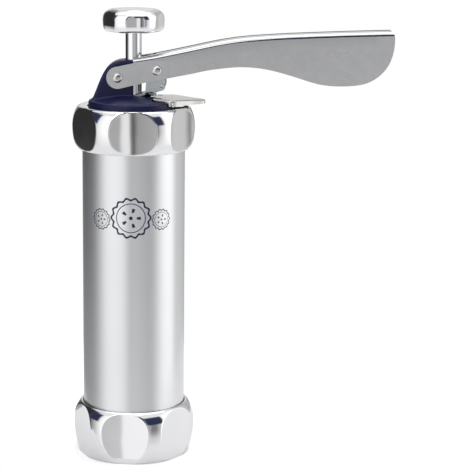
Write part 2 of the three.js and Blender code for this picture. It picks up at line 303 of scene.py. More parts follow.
    @classmethod
    def soften(cls, piece: bpy.types.Object, width: float, segments: int = 2, degrees: float = 40) -> None:
        """Round every edge sharper than an angle, and fix it into the mesh.

        Args:
            piece: The object changed.
            width: Radius in millimetres.
            segments: Faces across each round.
            degrees: The angle above which an edge counts.
        """
        change = piece.modifiers.new("edge", "BEVEL")
        change.width = width * MM
        change.segments = segments
        change.limit_method = "ANGLE"
        change.angle_limit = math.radians(degrees)
        cls.bake(piece)

    @classmethod
    def shade(cls, piece: bpy.types.Object, degrees: float) -> None:
        """Shade a piece smooth, with sharp edges crisp and broad faces true.

        Args:
            piece: The object changed.
            degrees: The angle above which an edge stays crisp.
        """
        mesh = piece.data
        mesh.polygons.foreach_set("use_smooth", [True] * len(mesh.polygons))
        mesh.set_sharp_from_angle(angle=math.radians(degrees))
        mesh.update()
        change = piece.modifiers.new("even", "WEIGHTED_NORMAL")
        change.keep_sharp = True
        cls.bake(piece)

    @staticmethod
    def soft_least(first: float, second: float, blend: float) -> float:
        """The smaller of two lengths, eased where they are close."""
        share = min(1.0, max(0.0, 0.5 + 0.5 * (second - first) / blend))
        return second + (first - second) * share - blend * share * (1 - share)

    @classmethod
    def flute(
        cls, bm: bmesh.types.BMesh, hollow: float, floor: float, first: float, inner: float, blend: float,
        ends: tuple[FluteEnd, FluteEnd],
    ) -> None:
        """Press six round-bottomed grip flutes into a turned body.

        Args:
            bm: The turned body.
            hollow: Radius of each flute's hollow in millimetres.
            floor: Distance of a flute's floor from the axis.
            first: Direction of the first flute in degrees from +X.
            inner: Points closer to the axis than this stay where they are.
            blend: Width over which the flute's edge is eased.
            ends: How the flutes run out below and above the body's middle.
        """
        tall = [vert.co.z for vert in bm.verts]
        middle = (min(tall) + max(tall)) / 2
        for index in range(6):
            angle = math.radians(first + 60 * index)
            out = Vector((math.cos(angle), math.sin(angle)))
            along = Vector((-math.sin(angle), math.cos(angle)))
            for vert in bm.verts:
                flat = Vector((vert.co.x, vert.co.y)) / MM
                reach, aside = flat.dot(out), flat.dot(along)
                if flat.length < inner or reach < 0 or abs(aside) > hollow * 0.9:
                    continue
                end = ends[int(vert.co.z > middle)]
                share = min(1.0, max(0.0, (flat.length - inner) / end.fade))
                deep = max(end.least, flat.length - floor) * share * share * (3 - 2 * share)
                base = flat.length - deep
                wall = base + hollow - math.sqrt(hollow ** 2 - aside ** 2)
                eased = cls.soft_least(reach, wall, blend)
                if eased < reach - 1e-6:
                    moved = (out * eased + along * aside) * MM
                    vert.co.x, vert.co.y = moved.x, moved.y

    @staticmethod
    def coil(radius: float, wire: float, low: float, high: float, turns: float, at: Point) -> bmesh.types.BMesh:
        """Wind a round wire about an upright line.

        Args:
            radius: Mean radius of the coil in millimetres.
            wire: Radius of the wire.
            low: Height of the first turn's middle.
            high: Height of the last turn's middle.
            turns: Number of turns.
            at: Where the coil's axis stands.

        Returns:
            The closed coil.
        """
        bm = bmesh.new()
        ring = bmesh.ops.create_circle(bm, cap_ends=True, segments=12, radius=wire * MM)
        stand = Matrix.Translation(((at[0] + radius) * MM, at[1] * MM, low * MM))
        bmesh.ops.transform(bm, matrix=stand @ Matrix.Rotation(math.pi / 2, 4, "X"), verts=ring["verts"])
        steps = round(turns * 36)
        bmesh.ops.spin(
            bm, geom=bm.faces[:], cent=(at[0] * MM, at[1] * MM, low * MM), axis=(0, 0, 1),
            dvec=(0, 0, (high - low) / steps * MM), angle=turns * 2 * math.pi, steps=steps,
            use_merge=False, use_duplicate=False,
        )
        bmesh.ops.holes_fill(bm, edges=[e for e in bm.edges if e.is_boundary], sides=0)
        bmesh.ops.recalc_face_normals(bm, faces=bm.faces[:])
        return bm

    @staticmethod
    def rivet(name: str, spot: Point, shank: float, head: float, grip: float, dome: float) -> bpy.types.Object:
        """A rivet across the lever with a domed head at each side.

        Args:
            name: The piece's name.
            spot: Its (x, z) place.
            shank: Shank radius.
            head: Head radius.
            grip: Half the length between the heads.
            dome: Height of a head.

        Returns:
            The rivet.
        """
        shares = ((1.0, 0.0), (0.98, 0.22), (0.88, 0.56), (0.66, 0.84), (0.38, 0.97), (0.0, 1.0))
        rise = [(head * out, dome * up) for out, up in shares]
        top = [(r, grip + h) for r, h in Workshop.curve(rise, 0.12)]
        top[-1] = (0.0, top[-1][1])
        bottom = [(r, -z) for r, z in reversed(top)]
        bm = Workshop.spin([*bottom, (shank, -grip), (shank, grip), *top], 64)
        place = Matrix.Translation((spot[0] * MM, 0, spot[1] * MM)) @ Matrix.Rotation(math.pi / 2, 4, "X")
        bmesh.ops.transform(bm, matrix=place, verts=bm.verts[:])
        return Workshop.mesh_object(bm, name)


# ---------------------------------------------------------------- nodes
class Nodes:
    """Short ways of adding nodes to one shader tree."""

    def __init__(self, tree: bpy.types.NodeTree) -> None:
        """Keep the tree that the nodes are added to."""
        self.tree = tree

    def node(self, kind: str, **values: object) -> bpy.types.Node:
        """Add a node and set its own properties.

        Args:
            kind: Blender's name for the node's type.
            values: The node's properties by name.

        Returns:
            The new node.
        """
        made = self.tree.nodes.new(kind)
        for key, value in values.items():
            setattr(made, key, value)
        return made

    def feed(self, target: Socket, source: object) -> None:
        """Link an input to a socket, or set it to a plain value.

        Args:
            target: The input.
            source: A socket, a plain value, or None to leave the input alone.
        """
        if isinstance(source, bpy.types.NodeSocket):
            self.tree.links.new(source, target)
        elif source is not None:
            target.default_value = source

    def math(self, operation: str, first: object, second: object = None, clamp: bool = False) -> Socket:
        """Add one sum.

        Args:
            operation: The Math node's operation.
            first: A socket or a number.
            second: A socket or a number, where the sum takes two.
            clamp: Whether to keep the result between 0 and 1.

        Returns:
            The result's socket.
        """
        made = self.node("ShaderNodeMath", operation=operation, use_clamp=clamp)
        self.feed(made.inputs[0], first)
        self.feed(made.inputs[1], second)
        return made.outputs[0]

    def times(self, first: object, second: object, clamp: bool = False) -> Socket:
        """A product."""
        return self.math("MULTIPLY", first, second, clamp)

    def plus(self, first: object, second: object) -> Socket:
        """A sum."""
        return self.math("ADD", first, second)

    def less(self, first: object, second: object) -> Socket:
        """A difference."""
        return self.math("SUBTRACT", first, second)

    def gap(self, first: object, second: object) -> Socket:
        """A difference without its sign."""
        return self.math("ABSOLUTE", self.less(first, second))

    def reach(self, first: Socket, second: Socket) -> Socket:
        """The length of two sides at right angles."""
        return self.math("SQRT", self.plus(self.math("POWER", first, 2.0), self.math("POWER", second, 2.0)))

    def place(self, kind: str = "Object") -> Socket:
        """Where the surface lies in its piece's own frame, or another of the coordinates."""
        return self.node("ShaderNodeTexCoord").outputs[kind]

    def parts(self, vector: Socket) -> list[Socket]:
        """A vector's X, Y and Z.

        Args:
            vector: The vector to take apart.

        Returns:
            Three sockets.
        """
        made = self.node("ShaderNodeSeparateXYZ")
        self.feed(made.inputs[0], vector)
        return list(made.outputs)

    def noise(self, vector: Socket, scale: object, detail: float, rough: float = 0.6) -> Socket:
        """Add a noise pattern.

        Args:
            vector: Where it is read.
            scale: Its scale, a number or a socket.
            detail: Octaves of detail.
            rough: How strong the fine octaves are.

        Returns:
            The pattern's value socket.
        """
        made = self.node("ShaderNodeTexNoise")
        for key, value in (("Vector", vector), ("Scale", scale), ("Detail", detail), ("Roughness", rough)):
            self.feed(made.inputs[key], value)
        return made.outputs["Fac"]

    def bump(self, height: Socket, distance: float, normal: Socket | None = None) -> Socket:
        """Raise the surface's normal by a height over an earlier normal.

        Args:
            height: The height to raise it by.
            distance: What a height of 1 stands for.
            normal: The earlier normal, if there is one.

        Returns:
            The raised normal.
        """
        made = self.node("ShaderNodeBump")
        for key, value in (("Strength", 1.0), ("Distance", distance), ("Height", height), ("Normal", normal)):
            self.feed(made.inputs[key], value)
        return made.outputs["Normal"]

    def mix(self, first: object, second: object, share: Socket) -> Socket:
        """Mix two colours.

        Args:
            first: A colour or a socket.
            second: A colour or a socket.
            share: How much of the second.

        Returns:
            The mixed colour's socket.
        """
        made = self.node("ShaderNodeMix", data_type="RGBA")
        self.feed(made.inputs["Factor"], share)
        for socket, value in zip(made.inputs[6:8], (first, second)):
            self.feed(socket, (*value, 1.0) if isinstance(value, tuple) else value)
        return made.outputs[2]

    def group(self, tree: bpy.types.NodeTree, **values: object) -> list[Socket]:
        """Place a node group with its own values and give its outputs.

        Args:
            tree: The group.
            values: Its inputs by name.

        Returns:
            The placed group's outputs.
        """
        made = self.node("ShaderNodeGroup", node_tree=tree)
        for key, value in values.items():
            self.feed(made.inputs[key], value)
        return list(made.outputs)

    def ramp(self, value: Socket, stops: list[Stop]) -> Socket:
        """Turn a value into a grey.

        Args:
            value: What the ramp reads, 0 to 1.
            stops: The grey at each place, from start to end.

        Returns:
            The grey's socket.
        """
        made = self.node("ShaderNodeValToRGB")
        self.feed(made.inputs[0], value)
        line = made.color_ramp.elements
        while len(line) < len(stops):
            line.new(1.0)
        for element, (spot, level) in zip(line, stops):
            element.position = spot
            element.color = (level, level, level, 1)
        return made.outputs["Color"]


class NodeGroup(Nodes):
    """A shader node group built once, with named inputs and outputs."""

    def __init__(self, name: str, inputs: dict[str, object], outputs: list[str]) -> None:
        """Start a group.

        Args:
            name: The group's name.
            inputs: Each input's name and default, a tuple for a vector.
            outputs: Each output's name.
        """
        super().__init__(bpy.data.node_groups.new(name, "ShaderNodeTree"))
        for label, value in inputs.items():
            kind = "NodeSocketVector" if isinstance(value, tuple) else "NodeSocketFloat"
            self.tree.interface.new_socket(label, in_out="INPUT", socket_type=kind).default_value = value
        for label in outputs:
            self.tree.interface.new_socket(label, in_out="OUTPUT", socket_type="NodeSocketFloat")
        self.given = self.node("NodeGroupInput").outputs
        self.result = self.node("NodeGroupOutput").inputs

    @classmethod
    @cache
    def edge_wear(cls) -> bpy.types.NodeTree:
        """Bright rubbed edges, as a mask from the surface's own sharpness.

        Returns:
            The group's tree.
        """
        group = cls("edge_wear", {"Amount": 0.5}, ["Mask"])
        patch = group.noise(group.place(), 260.0, 4.0)
        sharp = group.less(group.node("ShaderNodeNewGeometry").outputs["Pointiness"], 0.52)
        rubbed = group.times(group.times(sharp, 9.0, clamp=True), patch)
        group.feed(group.result["Mask"], group.times(rubbed, group.given["Amount"], clamp=True))
        return group.tree

    @classmethod
    @cache
    def grain(cls) -> bpy.types.NodeTree:
        """Fine brushed lines: noise stretched by a scale for each direction.

        Returns:
            The group's tree.
        """
        group = cls("grain", {"Stretch": (1.0, 1.0, 1.0), "Scale": 900.0}, ["Value"])
        drawn = group.node("ShaderNodeVectorMath", operation="MULTIPLY")
        group.feed(drawn.inputs[0], group.place())
        group.feed(drawn.inputs[1], group.given["Stretch"])
        group.feed(group.result["Value"], group.noise(drawn.outputs[0], group.given["Scale"], 3.0, 0.7))
        return group.tree

    @classmethod
    @cache
    def round_grain(cls) -> bpy.types.NodeTree:
        """Fine lathe lines that run round the barrel's axis.

        Returns:
            The group's tree.
        """
        group = cls("round_grain", {"Scale": 4000.0}, ["Value"])
        x, y, z = group.parts(group.place())
        spot = group.node("ShaderNodeCombineXYZ")
        for socket, value in zip(spot.inputs, (group.reach(x, y), group.times(x, 0.02), z)):
            group.feed(socket, value)
        group.feed(group.result["Value"], group.noise(spot.outputs[0], group.given["Scale"], 3.0, 0.65))
        return group.tree

    @classmethod
    @cache
    def handling(cls) -> bpy.types.NodeTree:
        """Faint smudges, fine dust and a slow unevenness of colour.

        Returns:
            The group's tree.
        """
        group = cls("handling", {"Scale": 40.0}, ["Smudge", "Dust", "Drift"])
        place = group.place()
        broad = group.noise(place, group.given["Scale"], 3.0)
        specks = group.noise(place, 1900.0, 2.0, 0.5)
        group.feed(group.result["Smudge"], group.times(group.less(broad, 0.45), 2.2, clamp=True))
        group.feed(group.result["Dust"], group.times(group.less(specks, 0.68), 6.0, clamp=True))
        group.feed(group.result["Drift"], group.noise(place, 12.0, 2.0))
        return group.tree

    @classmethod
    @cache
    def biscuit(cls) -> bpy.types.NodeTree:
        """A plain scalloped biscuit drawn in line: rim, inner ring and five dots.

        Returns:
            The group's tree.
        """
        group = cls("biscuit", {"Along": 0.0, "Height": 0.0, "Radius": 8.0}, ["Mask"])
        along, height, radius = (group.given[key] for key in ("Along", "Height", "Radius"))
        share = group.math("DIVIDE", group.reach(along, height), radius)
        turn = group.math("ARCTAN2", height, along)
        wave = group.times(group.math("COSINE", group.times(turn, 14.0)), 0.05)
        rim = group.math("LESS_THAN", group.gap(group.less(share, 0.92), wave), 0.05)
        inner = group.math("LESS_THAN", group.gap(share, 0.7), 0.022)
        petal = group.math("ABSOLUTE", group.math("SINE", group.times(turn, 2.5)))
        ring = group.math("LESS_THAN", group.gap(share, 0.38), 0.1)
        dots = group.times(ring, group.math("LESS_THAN", petal, 0.42))
        core = group.math("LESS_THAN", share, 0.09)
        lines = group.math("MAXIMUM", rim, inner)
        group.feed(group.result["Mask"], group.math("MAXIMUM", lines, group.math("MAXIMUM", dots, core)))
        return group.tree


# ---------------------------------------------------------------- finishes
@dataclass(frozen=True)
class Finish:
    """A metal or plastic finish built of grain, handling marks and worn edges.

    Attributes:
        name: The material's name.
        colour: Its base colour.
        roughness: Roughness before marks and grain.
        metallic: 1 for metal, 0 for a moulding.
        grain_stretch: The brushed grain's scale in each direction.
        grain_scale: How fine the grain is.
        grain_depth: The grain's height in metres.
        grain_spread: How far the grain changes the roughness.
        lathe: Whether the grain runs round the axis.
        wave_depth: Height of the slow waviness in metres.
        wave_scale: How close the waves lie.
        smudge: How far smudges raise the roughness.
        smudge_scale: How close the smudges lie.
        dust: How strong the dust is.
        dust_colour: The dust's colour.
        drift: How far the colour brightens as it drifts.
        edge: How worn the edges are.
        edge_colour: The worn edges' colour.
        coat: Weight of the clear coat.
        coat_roughness: Its roughness.
        specular: Specular level of a moulding.
        raised: Height of a stamp of full strength, in metres.
    """

    name: str
    colour: Colour
    roughness: float
    metallic: float = 1.0
    grain_stretch: Colour = (1.0, 1.0, 1.0)
    grain_scale: float = 900.0
    grain_depth: float = 0.0
    grain_spread: float = 0.0
    lathe: bool = False
    wave_depth: float = 0.0
    wave_scale: float = 60.0
    smudge: float = 0.03
    smudge_scale: float = 38.0
    dust: float = 0.01
    dust_colour: Colour = (0.62, 0.61, 0.58)
    drift: float = 1.05
    edge: float = 0.3
    edge_colour: Colour = (0.93, 0.93, 0.94)
    coat: float = 0.0
    coat_roughness: float = 0.08
    specular: float = 0.5
    raised: float = 0.0008

    def build(self) -> bpy.types.Material:
        """Make the material.

        Returns:
            The material, ready for a piece's first slot.
        """
        material = bpy.data.materials.new(self.name)
        material.use_nodes = True
        nodes = Nodes(material.node_tree)
        shader = material.node_tree.nodes["Principled BSDF"]
        shader.inputs["Metallic"].default_value = self.metallic
        shader.inputs["Coat Weight"].default_value = self.coat
        shader.inputs["Coat Roughness"].default_value = self.coat_roughness
        shader.inputs["Specular IOR Level"].default_value = self.specular
        smudge, dust, drift = nodes.group(NodeGroup.handling(), Scale=self.smudge_scale)
        worn, = nodes.group(NodeGroup.edge_wear(), Amount=self.edge)
        if self.lathe:
            grain, = nodes.group(NodeGroup.round_grain(), Scale=self.grain_scale)
        else:
            grain, = nodes.group(NodeGroup.grain(), Stretch=self.grain_stretch, Scale=self.grain_scale)

        colour = nodes.mix(self.colour, tuple(min(1.0, c * self.drift) for c in self.colour), drift)
        colour = nodes.mix(colour, self.edge_colour, worn)
        colour = nodes.mix(colour, self.dust_colour, nodes.times(dust, self.dust))
        self.finish_colour(nodes, shader, colour)

        rough = nodes.plus(nodes.times(smudge, self.smudge), self.roughness)
        rough = nodes.plus(nodes.times(grain, self.grain_spread), rough)
        nodes.feed(shader.inputs["Roughness"], self.finish_rough(nodes, rough))

        normal = nodes.bump(nodes.noise(nodes.place(), self.wave_scale, 1.0, 0.5), self.wave_depth)
        normal = nodes.bump(grain, self.grain_depth, normal)
        height = self.extra_height(nodes)
        if height is not None:
            normal = nodes.bump(height, self.raised, normal)
        nodes.feed(shader.inputs["Normal"], normal)
        return material

    def finish_colour(self, nodes: Nodes, shader: bpy.types.Node, colour: Socket) -> None:
        """Send the finished colour to the shader."""
        nodes.feed(shader.inputs["Base Color"], colour)

    def extra_height(self, nodes: Nodes) -> Socket | None:
        """A further height that a finish adds, if it has one."""
        return None

    def finish_rough(self, nodes: Nodes, rough: Socket) -> Socket:
        """A finish's last change to its roughness."""
        return rough


@dataclass(frozen=True)
class PrintedBarrel(Finish):
    """The barrel's satin metal with a row of three printed biscuits on its front."""

    ink: Colour = (0.012, 0.016, 0.06)
    barrel_radius: float = 30.0
    middle_height: float = 138.0
    biscuits: tuple[Spot, ...] = (
        (0.0, 0.0, 12.0), (-18.5, -1.5, 6.2), (18.5, -1.5, 6.2),
    )

    def finish_colour(self, nodes: Nodes, shader: bpy.types.Node, colour: Socket) -> None:
        """Print the biscuits over the metal's colour.

        Args:
            nodes: The material's nodes.
            shader: The shader to feed.
            colour: The metal's colour.
        """
        x, y, z = nodes.parts(nodes.place())
        along = nodes.times(nodes.math("ARCTAN2", x, nodes.times(y, -1.0)), self.barrel_radius)
        height = nodes.less(nodes.times(z, 1 / MM), self.middle_height)
        printed: object = 0.0
        for shift, lift, radius in self.biscuits:
            mask, = nodes.group(
                NodeGroup.biscuit(), Along=nodes.less(along, shift), Height=nodes.less(height, lift), Radius=radius,
            )
            printed = nodes.math("MAXIMUM", printed, mask)
        nodes.feed(shader.inputs["Base Color"], nodes.mix(colour, self.ink, printed))
        nodes.feed(shader.inputs["Metallic"], nodes.less(1.0, printed))


@dataclass(frozen=True)
class StampedLever(Finish):
    """The lever's satin sheet with one biscuit pressed lightly into each side of the grip."""

    stamp_at: Point = (120.5, 225.0)
    stamp_radius: float = 9.0
    stamp_depth: float = 0.6
    polish: float = 0.68
    crown: float = 0.8
    half_width: float = 9.25

    def extra_height(self, nodes: Nodes) -> Socket:
        """The stamp's height over the sheet, and the slight crown of the web.

        Args:
            nodes: The material's nodes.

        Returns:
            The height of both together.
        """
        x, y, z = nodes.parts(nodes.place())
        along = nodes.less(nodes.times(x, 1 / MM), self.stamp_at[0])
        height = nodes.less(nodes.times(z, 1 / MM), self.stamp_at[1])
        stamp, = nodes.group(NodeGroup.biscuit(), Along=along, Height=height, Radius=self.stamp_radius)
        aside = nodes.times(y, 1 / (MM * self.half_width))
        crown = nodes.times(nodes.times(aside, aside), -self.crown)
        return nodes.plus(nodes.times(stamp, self.stamp_depth), crown)

    def finish_rough(self, nodes: Nodes, rough: Socket) -> Socket:
        """Brighten the folded edges and the web, which the press tool burnishes.

        Args:
            nodes: The material's nodes.
            rough: The roughness so far.

        Returns:
            The lower roughness.
        """
        up = nodes.parts(nodes.place("Normal"))[2]
        share = nodes.times(nodes.less(up, 0.03), 8.0, clamp=True)
        return nodes.times(rough, nodes.less(1.0, nodes.times(share, self.polish)))


class Palette:
    """Every finish of the press, built once."""

    def __init__(self) -> None:
        """Name the finishes and build them on first use."""
        self._finishes: dict[str, Finish] = {
            "barrel": PrintedBarrel(
                "satin_anodised_barrel", (0.80, 0.81, 0.82), 0.30, lathe=True, grain_scale=3200.0,
                grain_depth=0.000004, grain_spread=0.05, smudge=0.03, edge=0.5,
            ),
            "ring": Finish(
                "polished_cast_ring", (0.87, 0.87, 0.88), 0.055, grain_scale=700.0,
                grain_depth=0.000001, grain_spread=0.02, wave_depth=0.00018, wave_scale=42.0,
                smudge=0.03, dust=0.02, edge=0.4,
            ),
            "knob": Finish(
                "polished_cast_knob", (0.90, 0.90, 0.91), 0.05, grain_scale=900.0,
                grain_depth=0.000001, grain_spread=0.02, wave_depth=0.00012, wave_scale=60.0,
                smudge=0.03, dust=0.02, edge=0.4,
            ),
            "rod": Finish(
                "ground_rod", (0.88, 0.88, 0.90), 0.06, lathe=True, grain_scale=5200.0,
                grain_depth=0.000001, grain_spread=0.03, smudge=0.02, edge=0.3,
            ),
            "lever": StampedLever(
                "satin_pressed_lever", (0.65, 0.655, 0.655), 0.24, grain_stretch=(0.03, 1.0, 1.0),
                grain_scale=2600.0, grain_depth=0.000003, grain_spread=0.09, wave_depth=0.0001,
                wave_scale=18.0, smudge=0.05, edge=0.6,
            ),
            "cap": Finish(
                "navy_moulded_cap", (0.0080, 0.0095, 0.058), 0.34, 0.0, grain_scale=1400.0,
                grain_depth=0.000012, grain_spread=0.05, wave_depth=0.00005, wave_scale=90.0,
                smudge=0.06, dust=0.05, edge=0.25, edge_colour=(0.04, 0.05, 0.14), coat=0.08,
                coat_roughness=0.16, specular=0.28,
            ),
            "pawl": Finish(
                "zinc_plated_pawl", (0.56, 0.61, 0.63), 0.28, grain_stretch=(0.08, 1.0, 1.0),
                grain_scale=1800.0, grain_depth=0.000003, grain_spread=0.12, smudge=0.06, edge=0.6,
                edge_colour=(0.8, 0.82, 0.85),
            ),
            "tab": Finish(
                "nickel_plated_tab", (0.53, 0.52, 0.485), 0.22, grain_stretch=(0.1, 1.0, 1.0),
                grain_scale=1700.0, grain_depth=0.000003, grain_spread=0.08, smudge=0.06, edge=0.7,
            ),
            "rivet": Finish(
                "tumbled_rivet", (0.68, 0.67, 0.66), 0.16, grain_scale=1500.0, grain_depth=0.000002,
                grain_spread=0.08, wave_depth=0.00004, wave_scale=300.0, smudge=0.05, edge=0.5,
            ),
            "spring": Finish(
                "drawn_spring_wire", (0.62, 0.62, 0.63), 0.25, grain_scale=2400.0,
                grain_depth=0.000002, grain_spread=0.1, smudge=0.04, edge=0.4,
            ),
            "steel": Finish(
                "plain_plated_steel", (0.62, 0.63, 0.64), 0.30, grain_scale=1600.0,
                grain_depth=0.000003, grain_spread=0.12, smudge=0.08, edge=0.5,
            ),
            "die": Finish(
                "stamped_die_plate", (0.74, 0.75, 0.76), 0.28, grain_stretch=(0.06, 1.0, 1.0),
                grain_scale=1900.0, grain_depth=0.000003, grain_spread=0.12, smudge=0.06, edge=0.6,
            ),
            "piston": Finish(
                "white_moulded_piston", (0.82, 0.82, 0.79), 0.42, 0.0, grain_scale=1300.0,
                grain_depth=0.000015, grain_spread=0.06, smudge=0.06, dust=0.04, edge=0.2,
                edge_colour=(0.9, 0.9, 0.88), coat=0.1,
            ),
        }
        self._made: dict[str, bpy.types.Material] = {}

    def get(self, name: str) -> bpy.types.Material:
        """The material of a finish, built when first asked for.

        Args:
            name: The finish's name.

        Returns:
            The material.
        """
        if name not in self._made:
            self._made[name] = self._finishes[name].build()
        return self._made[name]


@dataclass
class SubAssembly:
    """Shared ways of dressing a piece and fixing it to the CAD frame."""

    palette: Palette

    def fit(self, piece: bpy.types.Object, finish: str, body: str, node: str, crisp: float = 50) -> None:
        """Shade and dress a new piece, ride it on its body and let it stand for a CAD node.

        Args:
            piece: The finished piece.
            finish: Name of its finish.
            body: CAD body it moves with.
            node: CAD node it replaces, which is hidden.
            crisp: The angle above which an edge stays crisp.
        """
        Workshop.shade(piece, crisp)
        piece.data.materials.clear()
        piece.data.materials.append(self.palette.get(finish))
        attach(piece, body)
        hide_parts(node)
        LOG.info("%s: %d faces, moves with %s", piece.name, len(piece.data.polygons), body)

    def dress(self, node: str, finish: str) -> None:
        """Give a CAD node that keeps its own shape its finish.

        Args:
            node: The CAD node's name.
            finish: The finish's name.
        """
        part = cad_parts[node]
        for slot in part.material_slots:
            slot.material = self.palette.get(finish)
        LOG.info("%s keeps its CAD shape", node)


# ---------------------------------------------------------------- barrel, die and piston
@dataclass
class BarrelSet(SubAssembly):
    """The barrel, the die plate in its mouth and the piston inside it."""

    outside: float = 30.0
    bore: float = 28.5
    foot: float = 2.4
    head: float = 191.2
    edge: float = 0.35
    die_foot: float = 25.4
    die_flange: float = 28.2
    die_step: float = 0.7
    die_thick: float = 2.1
    petals: int = 6
    petal_at: float = 14.2
    petal_size: tuple[float, float] = (6.2, 3.4)

    def build(self) -> None:
        """Turn the barrel and dress what is inside it."""
        e = self.edge
        profile = [
            (self.bore, self.foot + e), (self.bore + e, self.foot), (self.outside - e, self.foot),
            (self.outside, self.foot + e), (self.outside, self.head / 2), (self.outside, self.head - e),
            (self.outside - e, self.head), (self.bore + e, self.head), (self.bore, self.head - e),
            (self.bore, self.foot + e),
        ]
        tube = Workshop.mesh_object(Workshop.spin(profile, 256), "barrel_tube")
        self.fit(tube, "barrel", "barrel", "barrel")
        self.fit(self._die(), "die", "die", "die_plate", 35)
        self.dress("piston", "piston")
        for node in ("piston_washer", "piston_screw", "guide_plate", "brake_plate",
                     "guide_screw_1", "guide_screw_2", "guide_screw_3"):
            self.dress(node, "steel")

    def _die(self) -> bpy.types.Object:
        """The die plate: a stepped disc with six petal openings.

        Returns:
            The finished disc.
        """
        foot, flange, step, thick = self.die_foot, self.die_flange, self.die_step, self.die_thick
        profile = [
            (0, 0), (foot - 0.4, 0), (foot, 0.25), (foot, step), (flange - 0.4, step),
            (flange, step + 0.3), (flange, thick - 0.3), (flange - 0.3, thick), (0, thick),
        ]
        disc = Workshop.mesh_object(Workshop.spin(profile, 192), "die_disc")
        length, width = (size * MM for size in self.petal_size)
        for index in range(self.petals):
            tool = bmesh.new()
            bmesh.ops.create_cone(
                tool, cap_ends=True, segments=48, radius1=1.0, radius2=1.0, depth=6 * MM,
            )
            bmesh.ops.scale(tool, vec=(length, width, 1.0), verts=tool.verts[:])
            turn = Matrix.Rotation(math.tau * (index + 0.5) / self.petals, 4, "Z")
            bmesh.ops.transform(
                tool, matrix=turn @ Matrix.Translation((self.petal_at * MM, 0, MM)), verts=tool.verts[:],
            )
            Workshop.combine(disc, tool, Cut.TAKE)
        Workshop.soften(disc, 0.15, 2, 50)
        return disc


# ---------------------------------------------------------------- grip rings and knob
@dataclass
class GripRings(SubAssembly):
    """The fluted die ring and cap ring."""

    hollow: float = 102.0
    floor: float = 31.9
    ease: float = 0.4
    steps: int = 504

    def build(self) -> None:
        """Turn and flute both rings."""
        crown = Workshop.curve(
            [(32.7, -8.4), (33.6, -5.5), (34.6, -2.0), (35.4, 2.0), (35.8, 6.0), (35.9, 9.5),
             (35.6, 13.5), (34.8, 16.8), (33.6, 19.4), (32.3, 21.2)], 0.6,
        )
        lower = [
            (29.5, -8.9), (29.7, -9.0), (32.0, -9.0), (32.4, -8.85), *crown, (31.8, 21.7), (31.3, 22.0),
            (30.6, 22.0), (30.4, 21.8), (30.4, 0.4), (26.0, 0.4), (25.8, 0.2), (25.8, -3.0), (29.5, -8.9),
        ]
        self._ring("bottom_grip_ring", lower, -96.0, "bottom_ring")
        crown = Workshop.curve(
            [(32.4, 175.0), (33.8, 176.8), (34.9, 179.5), (35.5, 183.0), (35.75, 187.0), (35.6, 190.4),
             (35.0, 193.8), (34.0, 196.6), (32.9, 198.6)], 0.6,
        )
        upper = [
            (30.4, 174.5), (30.6, 174.2), (31.2, 174.2), (31.8, 174.45), *crown, (32.4, 199.15),
            (31.6, 199.5), (30.8, 199.6), (27.3, 199.6), (27.0, 199.3), (27.0, 195.6), (30.4, 195.6),
            (30.4, 174.5),
        ]
        self._ring("top_grip_ring", upper, -87.5, "top_ring")

    def _ring(self, name: str, profile: list[Point], first: float, body: str) -> None:
        """Make one ring.

        Args:
            name: The piece's name.
            profile: Its turned profile.
            first: Direction of its first flute in degrees from +X.
            body: CAD body it moves with, which is also the node it replaces.
        """
        bm = Workshop.spin(profile, self.steps)
        Workshop.flute(bm, self.hollow, self.floor, first, self.floor, self.ease, (FluteEnd(), FluteEnd()))
        bmesh.ops.recalc_face_normals(bm, faces=bm.faces[:])
        ring = Workshop.mesh_object(bm, name)
        self.fit(ring, "ring", body, body)


@dataclass
class RodAndKnob(SubAssembly):
    """The ground rod and the fluted knob on its top."""

    radius: float = 4.7
    foot: float = 26.3
    head: float = 249.6
    knob_hollow: float = 40.0
    knob_floor: float = 16.6

    def build(self) -> None:
        """Turn the rod and the knob."""
        profile = [
            (2.8, self.foot), (self.radius - 0.4, self.foot), (self.radius, self.foot + 0.4),
            (self.radius, 120), (self.radius, self.head - 0.5), (self.radius - 0.5, self.head),
            (0, self.head), (0, 37.5), (2.8, 37.5), (2.8, self.foot),
        ]
        rod = Workshop.mesh_object(Workshop.spin(profile, 96), "ground_piston_rod")
        self.fit(rod, "rod", "rod", "piston_rod")

        side = Workshop.curve(
            [(13.8, 242.4), (15.7, 242.8), (17.0, 243.9), (17.6, 245.6), (17.8, 247.8), (17.8, 250.2),
             (17.2, 252.5), (15.9, 254.1), (13.8, 255.15), (11.6, 255.5)], 0.4,
        )
        outline = [
            (0, 250.0), (4.9, 250.0), (4.9, 242.7), (5.3, 242.4), (12.2, 242.4), *side,
            (8.0, 255.5), (4.0, 255.5), (0, 255.5),
        ]
        bm = Workshop.spin(outline, 360)
        ends = (FluteEnd(1.1, 0.9), FluteEnd(0.9, 1.6))
        Workshop.flute(bm, self.knob_hollow, self.knob_floor, -83.0, 12.6, 0.3, ends)
        bmesh.ops.recalc_face_normals(bm, faces=bm.faces[:])
        knob = Workshop.mesh_object(bm, "fluted_knob")
        self.fit(knob, "knob", "rod", "knob")


